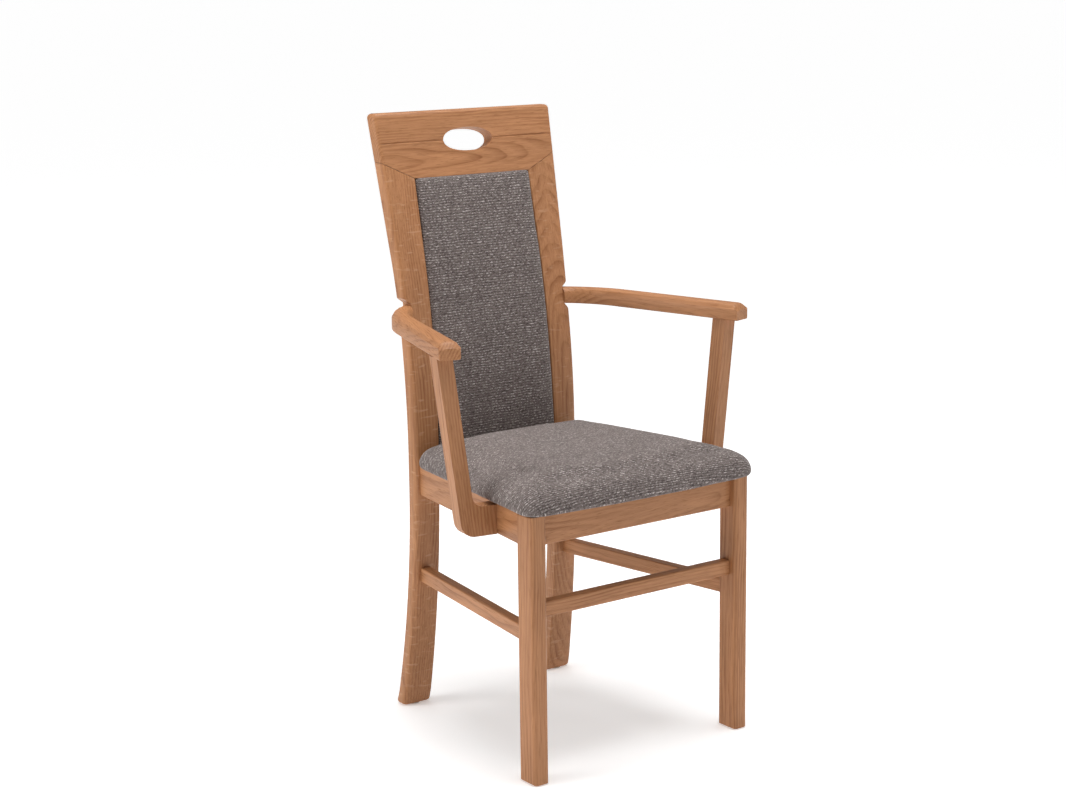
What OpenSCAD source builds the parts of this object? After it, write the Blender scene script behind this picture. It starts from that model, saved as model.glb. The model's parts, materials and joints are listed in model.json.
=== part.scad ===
// Wooden armchair with an upholstered seat and a tall upholstered back.
// Millimetres. X runs across the chair, the sitter faces -Y, Z is up from the floor.

/* [Overall] */
// Height of the top edge of the back over the floor
back_h = 1052; // [1042:1:1080]
// Width over the outer faces of the front legs
front_w = 455; // [445:1:475]
// Depth from the face of the front legs to the face of the rear legs at the seat
frame_d = 412.5; // [405:0.5:425]
// Angle by which each side of the seat frame narrows towards the back, in degrees
splay = 8.56; // [8:0.01:9]

/* [Front legs] */
// Width of a front leg across the chair
leg_w = 30; // [28:1:32]
// Depth of a front leg
leg_d = 41; // [38:1:44]
// Radius on the two front corners of a front leg
leg_round = 8; // [5:0.5:10]

/* [Rear legs] */
// Thickness of a rear leg from front to back
post_t = 27; // [25:1:30]
// Radius along the outer front edge of a rear leg
post_round = 9; // [6:0.5:10]
// How far a rear foot kicks back behind the seat frame
kick = 40; // [30:1:45]
// Lean of the upper back, in degrees
recline = 12.1; // [10:0.1:13]
// Half width over the rear legs at the seat
post_out = 175.7; // [174:0.1:178]
// Half the gap between the rear feet
post_in = 131; // [130:0.5:132]

/* [Seat frame and stretchers] */
// Height of the underside of the seat rails
rail_z = 395; // [390:1:398]
// Height of the seat rails
rail_h = 52; // [50:1:54]
// Thickness of the seat rails
rail_t = 22; // [20:1:24]
// Set-back of the front rail and the front stretcher from the face of the legs
rail_inset = 14.5; // [12:0.5:16]
// Height of the underside of the front stretcher
front_stretcher_z = 275.5; // [270:0.5:285]
// Height of the underside of the side stretchers
side_stretcher_z = 236.7; // [230:0.1:240]
// Height of every stretcher
stretcher_h = 25.5; // [22:0.5:28]
// Thickness of every stretcher
stretcher_t = 20; // [18:1:22]

/* [Back] */
// Height of the top rail at its inner mitre corners
top_rail_h = 112.6; // [110:0.1:116]
// Rise of each mitre from its inner to its outer corner
mitre_rise = 30; // [26:1:32]
// Height of the groove line and of the middle of the grip hole
grip_z = 1001; // [998:1:1004]
// Width of the oval grip hole
grip_w = 104; // [96:1:110]
// Height of the oval grip hole
grip_h = 41; // [38:1:44]
// How far the upholstered panel stands proud of the frame at its edge
panel_proud = 3.5; // [2:0.5:5]

/* [Arms] */
// Height of the underside of an arm at its front end
arm_z = 693; // [688:1:698]
// Thickness of an arm
arm_t = 28.5; // [27:0.5:30]
// Width of an arm at its front end
arm_w = 37; // [34:1:40]
// Distance of the middle of an arm's front end from the centre plane
arm_reach = 304; // [300:1:308]
// Outward angle of the straight part of an arm, in degrees
arm_angle = 16.7; // [15.5:0.1:17.5]
// Height of the chamfer round the top of an arm
arm_chamfer = 9; // [6:0.5:10]
// Thickness of an arm support along the chair
support_t = 28; // [26:1:30]

/* [Seat cushion] */
// Thickness of the cushion over the seat rails at its middle
cushion_h = 53; // [48:1:56]
// Overhang of the cushion past the front legs
cushion_over = 15; // [10:1:16]
// Radius on the front corners of the cushion in plan
cushion_round = 28; // [24:1:36]

/* [Hidden] */
$fn = 48;

oak = "#b07d58";
beech = "#d8b98c";
birch_ply = "#d9bd90";
fabric = "#6b625e";
foam_cream = "#e6dcc0";
black_felt = "#2b2b2b";
zinc = "#b9bcc0";
nylon = "#d8d4cc";

far = 400;            // longer than any cut needs
soft_edge = 2.5;      // small radius on every planed edge
clear = 0.1;          // gap round a dowel or screw in its hole
glue_gap = 1;         // empty end of a dowel hole

// Feet and glides
glide_drop = 1.5;
glide_d = 22;
glide_stem_d = 4;
glide_stem_l = 14;

// Rear leg: a parabola down to the foot, straight at the seat, then a bend into the lean
kick_top_z = 400;
bend_z0 = 455;
bend_z1 = 820;
post_flare_low = 10.3;     // the feet stand wider than the seat
post_flare_high = 0.038;   // slope at which the stiles widen upwards
flare_z0 = 660;
flare_z1 = 800;
post_taper = 0.0108;       // slope at which the gap between the legs closes upwards
foot_round = 6;
post_back_round = 6.5;     // rear outer edge of a rear leg and of the top rail's ends

function bend(z, z0, z1, slope) =
    z < z0 ? 0 : z < z1 ? slope * pow(z - z0, 2) / (2 * (z1 - z0)) : slope * (z - (z0 + z1) / 2);
function post_y(z) =
    frame_d + (z < kick_top_z ? kick * pow(1 - z / kick_top_z, 2) : 0)
    + bend(z, bend_z0, bend_z1, tan(recline));
function post_x1(z) =
    post_out + (z < bend_z0 ? post_flare_low * pow(1 - z / bend_z0, 2) : 0)
    + bend(z, flare_z0, flare_z1, post_flare_high);
function post_x0(z) = post_in - post_taper * z;

// Top rail and its mitres
mitre_in_z = back_h - top_rail_h;
mitre_in_x = post_x0(mitre_in_z);
mitre_out_z = mitre_in_z + mitre_rise;
mitre_out_x = post_x1(mitre_out_z);
mitre_slope = mitre_rise / (mitre_out_x - mitre_in_x);
groove_w = 3.2;
groove_depth = 1.6;
top_round = 8;
mitre_gap = 0.8;            // shadow gap along each mitre

// Seat frame lines
leg_out = front_w / 2;
leg_in = leg_out - leg_w;
side_out = leg_out - 4.4;                   // outer face of a side rail at the front leg
rail_top = rail_z + rail_h;
rear_rail_y = frame_d + 2;
function side_x(y) = side_out - (y - leg_d) * tan(splay);
function side_inner_x(y, t) = side_x(y) - t / cos(splay);

// Arm: straight from the front end, then an arc into the notch of the rear leg
notch_x = 163;
notch_z0 = 699;
notch_z1 = 729;
arm_end_y = 106;
arm_turn = 54.5;                            // heading at the rear leg, from the Y axis
arm_joint_y = post_y(714) + post_t / 2 - 1.5;
arm_rise = 5.5 / 330;                       // slope of an arm, rising to the back
arm_joint_w = 25;
arm_line_x = arm_reach + arm_end_y * tan(arm_angle);
arm_bend_r = (arm_line_x - arm_joint_y * tan(arm_angle) - notch_x)
    / (cos(arm_angle) - cos(arm_turn) - tan(arm_angle) * (sin(arm_turn) - sin(arm_angle)));
arm_bend_x = notch_x + arm_bend_r * (cos(arm_angle) - cos(arm_turn));
arm_bend_y = arm_joint_y - arm_bend_r * (sin(arm_turn) - sin(arm_angle));
arm_straight = (arm_bend_y - arm_end_y) / cos(arm_angle);
arm_side_h = arm_t - arm_chamfer;
function arm_under(y) = arm_z + (y - arm_end_y) * arm_rise;

// Arm support: its foot meets the side rail, its leg leans out to the arm
support_y = 117.7;
support_foot_h = 49;
support_w = 27.5;
support_lean = 0.129;
support_u = 46;                             // inner edge where the lean starts, off the rail
support_u_z = 478;
support_in_r = 20;
support_out_r = 26;

// Seat cushion, from the rails up
board_t = 12;
board_inset = 10;           // the cover wraps round the board's edge
cover_t = 1.5;
cushion_z = rail_top;
cushion_front = -22;
cushion_back = frame_d - 8.5;
cushion_half = leg_out + cushion_over;
cushion_side = tan(7.6);
cushion_bow = 9;
cushion_rear_round = 20;
dust_inset = 48;            // edge of the opening under the seat

// Upholstered back panel, between the rear legs and over the rear rail
panel_z0 = rail_top + 2;
panel_z1 = mitre_in_z - 0.5;
panel_gap = 0.6;
panel_board_y = 9;
panel_board_t = 8;
panel_board_inset = 3;
panel_rear_t = 6.5;
panel_steps = 22;
panel_pin_z = [540, 640, 860];

y_mid = (cushion_front + post_y(back_h - top_round) + post_t) / 2;

// ---- Shared shapes ----

// Right-hand things are drawn once and mirrored for the left
module side(left) {
    if (left) mirror([1, 0, 0]) children();
    else children();
}
// From the front legs' face to the middle of the chair's depth
module place() { translate([0, -y_mid, 0]) children(); }

module round_rect(w, h, r) {
    square([w - 2 * r, h], center = true);
    square([w, h - 2 * r], center = true);
    for (x = [-1, 1], y = [-1, 1]) translate([x * (w / 2 - r), y * (h / 2 - r)]) circle(r);
}

function arc(cx, cy, r, a0, a1, n) =
    [for (i = [0:n]) [cx + r * cos(a0 + (a1 - a0) * i / n), cy + r * sin(a0 + (a1 - a0) * i / n)]];

// Closed outline round x0..x1, y0..y1; the outer corners have radii of their own
function post_section(x0, x1, y0, y1, r_front, r_back, r) = concat(
    arc(x1 - r_front, y0 + r_front, r_front, -90, 0, 6), arc(x1 - r_back, y1 - r_back, r_back, 0, 90, 5),
    arc(x0 + r, y1 - r, r, 90, 180, 3), arc(x0 + r, y0 + r, r, 180, 270, 3));

function flat_ring(outline, z) = [for (p = outline) [p[0], p[1], z]];

// One closed skin over rings that run from the bottom up, each drawn counter-clockwise
module loft(rings) {
    n = len(rings[0]);
    m = len(rings);
    polyhedron(
        points = [for (ring = rings) each ring],
        faces = concat(
            [[for (i = [0:n - 1]) i]],
            [[for (i = [n - 1:-1:0]) (m - 1) * n + i]],
            [for (k = [0:m - 2], i = [0:n - 1]) [k * n + i, (k + 1) * n + i, (k + 1) * n + (i + 1) % n]],
            [for (k = [0:m - 2], i = [0:n - 1])
                [k * n + i, (k + 1) * n + (i + 1) % n, k * n + (i + 1) % n]]));
}

// A dowel or a bore: length l centred on the origin, along the Y axis
module peg(d, l) { rotate([90, 0, 0]) cylinder(d = d, h = l, center = true); }

// A prism whose outline is drawn in Y and Z, right across the chair
module across(outline) { rotate([90, 0, 90]) linear_extrude(2 * far, center = true) polygon(outline); }

// ---- Rear legs and top rail ----

function post_ring(z, inset, height) = flat_ring(
    post_section(post_x0(z) + inset, post_x1(z) - inset, post_y(z) + inset,
        post_y(z) + post_t - inset, post_round, post_back_round, soft_edge), height);

post_levels = concat(
    [for (z = [foot_round + glide_drop + 18:26:side_stretcher_z - 8]) z],
    [side_stretcher_z - 2, side_stretcher_z + stretcher_h + 2],
    [for (z = [side_stretcher_z + stretcher_h + 24:22:rail_z - 12]) z],
    [rail_z - 3, rail_top + 3],
    [for (z = [rail_top + 25:25:bend_z1]) z],
    [mitre_out_z + 26]);

module post_blank() {
    loft(concat(
        [for (a = [0:30:90]) post_ring(0, foot_round * (1 - sin(a)),
            glide_drop + foot_round * (1 - cos(a)))],
        [for (z = post_levels) post_ring(z, 0, z)]));
}

// Everything above the mitre line, between the heights that the back needs
module above_mitre(grow) {
    far_z = mitre_out_z + (far - mitre_out_x) * mitre_slope + grow;
    rotate([90, 0, 0]) linear_extrude(4 * far, center = true) polygon([
        [-far, far_z], [-mitre_in_x, mitre_in_z + grow], [mitre_in_x, mitre_in_z + grow],
        [far, far_z], [far, back_h + far], [-far, back_h + far]]);
}

module rear_leg() {
    color(oak) difference() {
        post_blank();
        above_mitre(-mitre_gap);
        // notch that takes the end of the arm
        rotate([90, 0, 0]) linear_extrude(4 * far, center = true) polygon([
            [notch_x, notch_z0], [notch_x + 16, notch_z0 - 18], [notch_x + 40, notch_z0 - 40],
            [notch_x + 40, notch_z1 + 30], [notch_x + 16, notch_z1 + 12], [notch_x, notch_z1]]);
        rear_joints(clear);
        rear_rail_pegs(clear);
        side_peg_rows("rear", clear);
        stretcher_pegs("rear", clear);
        glide(rear_foot, clear);
    }
}

// Cut across the top rail: half width x1, from its front face back
function top_ring(z, inset, height) = let (
    front_x = post_x1(z) - post_round, front_y = post_y(z) + post_round,
    rear_x = post_x1(z) - post_back_round, rear_y = post_y(z) + post_t - post_back_round)
    flat_ring(concat(
        arc(front_x, front_y, post_round - inset, -90, 0, 6),
        arc(rear_x, rear_y, post_back_round - inset, 0, 90, 5),
        arc(-rear_x, rear_y, post_back_round - inset, 90, 180, 5),
        arc(-front_x, front_y, post_round - inset, 180, 270, 6)), height);

// Full oval outline: w across, h high
function oval(w, h) = [for (a = [0:7.5:352.5])
    [w / 2 * sign(cos(a)) * pow(abs(cos(a)), 0.92), h / 2 * sign(sin(a)) * pow(abs(sin(a)), 0.92)]];

module top_rail() {
    color(oak) difference() {
        intersection() {
            loft(concat(
                [top_ring(mitre_in_z - 20, 0, mitre_in_z - 20)],
                [for (a = [0:22.5:90]) top_ring(back_h - top_round, top_round * (1 - cos(a)),
                    back_h - top_round + top_round * sin(a))]));
            above_mitre(0);
        }
        translate([0, post_y(grip_z), grip_z]) rotate([90 - recline, 0, 0]) {
            linear_extrude(4 * post_t, center = true) polygon(oval(grip_w, grip_h));
            // V groove on the front face
            rotate([0, 90, 0]) linear_extrude(2 * far, center = true)
                polygon([[-1, -groove_w / 2 - 1], [-1, groove_w / 2 + 1], [groove_depth, 0]]);
        }
        for (left = [false, true]) side(left) top_pegs(clear);
    }
}

// ---- Seat frame ----

module front_leg() {
    color(oak) difference() {
        intersection() {
            translate([leg_out - leg_w / 2, leg_d / 2, glide_drop]) linear_extrude(rail_top - glide_drop) {
                translate([0, leg_d / 4]) round_rect(leg_w, leg_d / 2, soft_edge);
                translate([0, -leg_d / 8]) round_rect(leg_w, leg_d * 3 / 4, leg_round);
            }
            // rounded lower end
            translate([leg_out - leg_w / 2, leg_d / 2, rail_top / 2 + glide_drop / 2]) rotate([90, 0, 0])
                linear_extrude(2 * leg_d, center = true) round_rect(leg_w, rail_top - glide_drop, 3);
        }
        front_rail_pegs(clear);
        side_peg_rows("front", clear);
        stretcher_pegs("front", clear);
        front_stretcher_peg(clear);
        glide(front_foot, clear);
    }
}

module cross_bar(length, y, z, t, h) {
    translate([0, y + t / 2, z + h / 2]) rotate([90, 0, 90])
        linear_extrude(length, center = true) round_rect(t, h, soft_edge);
}

module front_rail() {
    color(oak) difference() {
        cross_bar(2 * leg_in, rail_inset, rail_z, rail_t, rail_h);
        for (left = [false, true]) side(left) {
            front_rail_pegs(clear);
            block_screw_pair("front", clear);
        }
    }
}

module rear_rail() {
    color(oak) difference() {
        cross_bar(2 * post_x0(rail_top + 3), rear_rail_y, rail_z, rail_t, rail_h);
        for (left = [false, true]) side(left) {
            rear_rail_pegs(clear);
            block_screw_pair("rear", clear);
        }
    }
}

// A bar along the splayed side, from the front leg to the face of the rear leg
module side_bar(z, h, t) {
    intersection() {
        translate([side_out, leg_d, z + h / 2]) rotate([0, 0, splay]) translate([-t / 2, 0, 0])
            rotate([-90, 0, 0]) translate([0, 0, -30])
            linear_extrude(frame_d + 60) round_rect(t, h, soft_edge);
        across([[leg_d, z - 1], [post_y(z - 2), z - 2], [post_y(z + h + 2), z + h + 2], [leg_d, z + h + 1]]);
    }
}

module side_rail() {
    color(oak) difference() {
        side_bar(rail_z, rail_h, rail_t);
        side_peg_rows("front", clear);
        side_peg_rows("rear", clear);
        support_screw_pair(clear);
        block_screw_pair("front", clear);
        block_screw_pair("rear", clear);
    }
}

module side_stretcher() {
    color(oak) difference() {
        side_bar(side_stretcher_z, stretcher_h, stretcher_t);
        stretcher_pegs("front", clear);
        stretcher_pegs("rear", clear);
    }
}

module front_stretcher() {
    color(oak) difference() {
        cross_bar(2 * leg_in, rail_inset, front_stretcher_z, stretcher_t, stretcher_h);
        for (left = [false, true]) side(left) front_stretcher_peg(clear);
    }
}

// Triangular glue blocks in the corners of the seat frame
block_leg = 55;
block_h = 34;
block_nose = 8;             // thickness left at each end of a block
block_z = rail_top - block_h;

module corner_block_front() {
    y0 = rail_inset + rail_t;
    y1 = leg_d + block_leg;
    side_end = side_inner_x(y1, rail_t);
    color(beech) difference() {
        translate([0, 0, block_z]) linear_extrude(block_h) polygon([
            [leg_in - block_leg, y0], [leg_in, y0], [leg_in, leg_d],
            [side_inner_x(leg_d, rail_t), leg_d], [side_end, y1],
            [side_end - block_nose, y1], [leg_in - block_leg, y0 + block_nose]]);
        block_screw_pair("front", clear);
        seat_screw("front", clear);
    }
}

module corner_block_rear() {
    x0 = post_x0(rail_top + 3);
    y0 = frame_d - 0.1 - block_leg;
    y1 = frame_d - 0.1;
    side_end = side_inner_x(y0, rail_t);
    color(beech) difference() {
        translate([0, 0, block_z]) linear_extrude(block_h) polygon([
            [x0 - block_leg, rear_rail_y], [x0 - block_leg, rear_rail_y - block_nose],
            [side_end - block_nose, y0], [side_end, y0],
            [side_inner_x(y1, rail_t), y1], [x0, y1], [x0, rear_rail_y]]);
        block_screw_pair("rear", clear);
        seat_screw("rear", clear);
    }
}

// ---- Arms ----

// Middle line of an arm at distance s from its front end: x, y, heading, half width
function arm_at(s) = let (
    turn = (s - arm_straight) / arm_bend_r * 180 / PI,
    a = arm_angle + max(0, turn),
    run = min(s, arm_straight),
    narrowing = (arm_w - 2 - arm_joint_w) * max(0, turn) / (arm_turn - arm_angle))
    [turn <= 0 ? arm_reach - run * sin(arm_angle) : arm_bend_x - arm_bend_r * (cos(arm_angle) - cos(a)),
     turn <= 0 ? arm_end_y + run * cos(arm_angle) : arm_bend_y + arm_bend_r * (sin(a) - sin(arm_angle)),
     a,
     (arm_w - 2 * run / arm_straight - narrowing) / 2];

// One cross section, drawn across the arm: across w, up h, chamfer c, pulled in by inset
function arm_section(hw, inset, top) = let (
    c = min(arm_chamfer, hw - 5), b = hw - inset,
    side_z = min(arm_side_h, top - 1), mid_z = arm_side_h + c * 0.68 - (arm_t - top))
    [[-b + 2, 0], [-b, 2], [-b, side_z], [-b + c * 0.42, mid_z],
     [-b + c, top - 0.6], [-b + c + 3, top], [b - c - 3, top], [b - c, top - 0.6],
     [b - c * 0.42, mid_z], [b, side_z], [b, 2], [b - 2, 0]];

function arm_ring(s, inset, top) = let (m = arm_at(s))
    [for (p = arm_section(m[3], inset, top)) let (
        x = m[0] - p[0] * cos(m[2]), y = m[1] - p[0] * sin(m[2])) [x, y, arm_under(y) + p[1]]];

arm_length = arm_straight + arm_bend_r * (arm_turn - arm_angle + 8) * PI / 180;

module armrest() {
    color(oak) difference() {
        loft(concat(
            [arm_ring(0, 1.6, arm_side_h - 0.6), arm_ring(1.2, 0.4, arm_side_h + 0.4),
             arm_ring(3, 0, arm_side_h + 2.4),
             arm_ring(arm_chamfer * 0.6, 0, arm_side_h + arm_chamfer * 0.7),
             arm_ring(arm_chamfer, 0, arm_t - 0.6), arm_ring(arm_chamfer + 3, 0, arm_t)],
            [for (s = [30:30:arm_straight]) arm_ring(s, 0, arm_t)],
            [for (i = [0:16]) let (s = arm_straight + 3 + (arm_length - arm_straight - 3) * i / 16)
                arm_ring(s, 0, arm_t)]));
        translate([notch_x - far, 0, 0]) cube([far, 2 * far, back_h]);
        arm_pegs(clear);
        support_peg(clear);
    }
}

// Into the support's own plane: u points out from the side rail, v up, thickness along the rail
module on_side_rail() {
    translate([side_x(support_y), support_y, 0]) rotate([0, 0, splay]) rotate([90, 0, 0])
        mirror([0, 0, 1]) children();
}

function support_inner(z) = support_u + (z - support_u_z) * support_lean;

module support_outline() {
    top = arm_z + 8;
    foot_top = rail_z + support_foot_h;
    in_r = support_in_r;
    polygon(concat(
        [[0, rail_z]],
        arc(support_inner(rail_z + support_out_r) + support_w - support_out_r - 1.5, rail_z + support_out_r,
            support_out_r, -90, -6, 12),
        [[support_inner(top) + support_w, top], [support_inner(top), top]],
        arc(support_inner(foot_top + in_r) - in_r - 0.6, foot_top + in_r, in_r, -6, -90, 10),
        [[0, foot_top]]));
}

module arm_support() {
    color(oak) difference() {
        intersection() {
            on_side_rail() linear_extrude(support_t) support_outline();
            across([[0, rail_z - 10], [far, rail_z - 10], [far, arm_under(far)], [0, arm_under(0)]]);
        }
        support_peg(clear);
        support_screw_pair(clear);
    }
}

// ---- Upholstery ----

// Plan of the cushion, pulled in by inset: bowed front, rounded corners, tapered sides
function cushion_plan(inset) = let (
    y0 = cushion_front + cushion_bow + inset, y1 = cushion_back - inset,
    w0 = cushion_half - inset, w1 = cushion_half - cushion_side * (cushion_back - cushion_front) - inset,
    r0 = max(10, cushion_round - inset * 0.35), r1 = max(6, cushion_rear_round - inset * 0.35),
    side0 = cushion_half - cushion_side * r0 - inset,
    bow = [for (i = [1:7]) let (t = -1 + i / 4) [t * (w0 - r0), y0 - cushion_bow * (1 - t * t)]])
    concat(
        bow,
        arc(side0 - r0, y0 + r0, r0, -86, -4, 8),
        arc(w1 - r1, y1 - r1, r1, 4, 88, 5),
        arc(-w1 + r1, y1 - r1, r1, 92, 176, 5),
        arc(-side0 + r0, y0 + r0, r0, 184, 266, 8));

foam_z = cushion_z + cover_t + board_t;

// From the widest part of the cushion up to its crown
function cushion_top(inset) = let (top = cushion_z + cushion_h - inset) [
    flat_ring(cushion_plan(inset), cushion_z + 18), flat_ring(cushion_plan(inset + 3), top - 26),
    flat_ring(cushion_plan(inset + 10), top - 17.5), flat_ring(cushion_plan(inset + 24), top - 9.5),
    flat_ring(cushion_plan(inset + 52), top - 3), flat_ring(cushion_plan(inset + 95), top)];

// From the underside, where the edge turns in, up to the widest part
function cushion_foot(inset) = [
    flat_ring(cushion_plan(inset + 3), cushion_z + inset),
    flat_ring(cushion_plan(inset), cushion_z + inset + 7)];

module seat_board() {
    color(birch_ply) difference() {
        loft([for (z = [cushion_z + cover_t, foam_z]) flat_ring(cushion_plan(cover_t + board_inset), z)]);
        for (left = [false, true], at = ["front", "rear"]) side(left) seat_screw(at, clear);
    }
}

module seat_foam() {
    color(foam_cream) loft(concat([flat_ring(cushion_plan(cover_t), foam_z)], cushion_top(cover_t)));
}

// The underside is open in the middle, where the dust cover closes it
module seat_cover() {
    color(fabric) difference() {
        loft(concat(cushion_foot(0), cushion_top(0)));
        loft(concat(cushion_foot(cover_t), cushion_top(cover_t)));
        translate([0, 0, cushion_z - 1]) linear_extrude(cover_t + 3) polygon(cushion_plan(dust_inset));
    }
}

module seat_dust_cover() {
    color(black_felt) difference() {
        translate([0, 0, cushion_z + 0.4]) linear_extrude(cover_t - 0.4) polygon(cushion_plan(dust_inset + 0.5));
        for (left = [false, true], at = ["front", "rear"]) side(left) seat_screw(at, clear);
    }
}

// A layer of the back panel between two depths behind the frame's face
module panel_layer(y0, y1, inset, r) {
    loft([for (k = [0:panel_steps]) let (
        z = panel_z0 + inset + (panel_z1 - panel_z0 - 2 * inset) * k / panel_steps,
        x = post_x0(z) - panel_gap - inset)
        flat_ring(concat(
            arc(x - r, post_y(z) + y0 + r, r, -90, 0, 4), [[x, post_y(z) + y1], [-x, post_y(z) + y1]],
            arc(-x + r, post_y(z) + y0 + r, r, 180, 270, 4)), z)]);
}

module back_board() {
    color(birch_ply) difference() {
        panel_layer(panel_board_y, panel_board_y + panel_board_t, panel_board_inset, 0.5);
        for (left = [false, true]) side(left) rear_joints(clear);
    }
}

module back_foam() { color(foam_cream) panel_layer(-panel_proud + cover_t, panel_board_y, cover_t, 6); }

module back_cover() {
    color(fabric) difference() {
        panel_layer(-panel_proud, panel_board_y, 0, 7);
        panel_layer(-panel_proud + cover_t, panel_board_y + 1, cover_t, 6);
    }
}

module back_rear_cover() {
    y0 = panel_board_y + panel_board_t;
    color(fabric) panel_layer(y0, y0 + panel_rear_t, 0, 0.5);
}

// ---- Dowels, pins and screws: the same modules cut their holes, with gap g ----

dowel_d = 8;
dowel_l = 38;

// Length of a dowel, and of its hole where a gap is given
function peg_l(l, g) = l + (g > 0 ? 2 * glue_gap : 0);

module front_rail_pegs(g) {
    for (z = [rail_z + 11, rail_z + 31]) translate([leg_in, rail_inset + rail_t / 2, z])
        rotate([0, 0, 90]) peg(dowel_d + 2 * g, peg_l(dowel_l, g));
}

module front_stretcher_peg(g) {
    translate([leg_in, rail_inset + stretcher_t / 2, front_stretcher_z + stretcher_h / 2])
        rotate([0, 0, 90]) peg(dowel_d + 2 * g, peg_l(dowel_l, g));
}

module rear_rail_pegs(g) {
    for (z = [rail_z + 11, rail_z + 31]) translate([post_x0(rail_top), rear_rail_y + rail_t / 2, z])
        rotate([0, 0, 90]) peg(dowel_d + 2 * g, peg_l(dowel_l - 4, g));
}

// Along the splayed side, at the front leg or at the rear leg
module side_peg(at, z, t, g) {
    y = at == "front" ? leg_d : post_y(z);
    translate([side_x(y) - t / 2 / cos(splay), y, z]) rotate([0, 0, splay])
        peg(dowel_d + 2 * g, peg_l(dowel_l - 4, g));
}

module side_peg_rows(at, g) { for (z = [rail_z + 21, rail_z + 41]) side_peg(at, z, rail_t, g); }
module stretcher_pegs(at, g) { side_peg(at, side_stretcher_z + stretcher_h / 2, stretcher_t, g); }

// Up through the mitre, along the lean of the back
module top_pegs(g) {
    for (x = [mitre_in_x + 20, mitre_in_x + 40]) {
        z = mitre_in_z + (x - mitre_in_x) * mitre_slope;
        translate([x, post_y(z) + post_t / 2 + 1, z]) rotate([90 - recline, 0, 0])
            peg(dowel_d + 2 * g, peg_l(46, g));
    }
}

module arm_pegs(g) {
    for (z = [notch_z0 + 8, notch_z0 + 21]) translate([notch_x, arm_joint_y, z])
        rotate([0, 0, 90]) peg(dowel_d + 2 * g, peg_l(dowel_l - 2, g));
}

// The pins that hold the back panel's board between the rear legs
module panel_pin_row(g) {
    for (z = panel_pin_z) translate([post_x0(z), post_y(z) + panel_board_y + panel_board_t / 2, z])
        rotate([0, 0, 90]) peg(5 + 2 * g, peg_l(30, g));
}

module rear_joints(g) {
    top_pegs(g);
    arm_pegs(g);
    panel_pin_row(g);
}

module support_peg(g) {
    on_side_rail() translate([support_inner(arm_z) + support_w / 2, arm_z, support_t / 2])
        peg(10 + 2 * g, peg_l(34, g));
}

// A countersunk wood screw along +Z with its head's face at z = 0
module screw(d, l, g) {
    head = 2 * d;
    cylinder(d = d + 2 * g, h = l + (g > 0 ? glue_gap : 0));
    cylinder(d1 = head + 2 * g, d2 = d + 2 * g, h = d / 2 + g);
    if (g > 0) translate([0, 0, -3]) cylinder(d = head + 2 * g, h = 3);
}

// Through the side rail from inside into the foot of the support
module support_screw_pair(g) {
    for (z = [rail_z + 13, rail_z + 35]) on_side_rail()
        translate([-rail_t, z, support_t / 2]) rotate([0, 90, 0]) screw(5, 55, g);
}

// Through a corner block into the front or rear rail and into the side rail
module block_screw_pair(at, g) {
    front = at == "front";
    z = block_z + 17;
    cross_y = front ? rail_inset + rail_t : rear_rail_y;
    cross_x = (front ? leg_in : post_x0(rail_top + 3)) - 26;
    translate([cross_x, cross_y + (front ? 20 : -20), z + 6]) rotate([front ? 90 : -90, 0, 0])
        screw(4, 34, g);
    side_y = front ? leg_d + 30 : frame_d - 34;
    translate([side_inner_x(side_y, rail_t), side_y, z - 6]) rotate([0, 0, splay])
        translate([-20, 0, 0]) rotate([0, 90, 0]) screw(4, 34, g);
}

// Up through a corner block into the seat board
module seat_screw(at, g) {
    front = at == "front";
    x = front ? leg_in - 10 : post_x0(rail_top) - 8;
    y = front ? leg_d + 12 : frame_d - 14;
    translate([x, y, block_z]) screw(4, block_h + 9, g);
}

module both_sides() { for (left = [false, true]) side(left) children(); }

module rail_dowels() {
    color(beech) both_sides() {
        front_rail_pegs(0);
        rear_rail_pegs(0);
        side_peg_rows("front", 0);
        side_peg_rows("rear", 0);
    }
}

module stretcher_dowels() {
    color(beech) both_sides() {
        front_stretcher_peg(0);
        stretcher_pegs("front", 0);
        stretcher_pegs("rear", 0);
    }
}

module top_rail_dowels() { color(beech) both_sides() top_pegs(0); }
module arm_dowels() { color(beech) both_sides() arm_pegs(0); }
module support_dowels() { color(beech) both_sides() support_peg(0); }
module panel_pins() { color(beech) both_sides() panel_pin_row(0); }
module support_screws() { color(zinc) both_sides() support_screw_pair(0); }
module block_screws() { color(zinc) both_sides() for (at = ["front", "rear"]) block_screw_pair(at, 0); }
module seat_screws() { color(zinc) both_sides() for (at = ["front", "rear"]) seat_screw(at, 0); }

// ---- Feet ----

front_foot = [leg_out - leg_w / 2, leg_d / 2];
rear_foot = [(post_x0(0) + post_x1(0)) / 2, post_y(0) + post_t / 2];

// Nailed nylon glide: a disc under the foot and a stem up into it
module glide(at, g) {
    translate([at[0], at[1], 0]) {
        cylinder(d = glide_d + 2 * g, h = glide_drop);
        cylinder(d = glide_stem_d + 2 * g, h = glide_drop + glide_stem_l + g);
    }
}

module foot_glide(at) { color(nylon) glide(at, 0); }

// ---- Nodes ----

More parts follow.
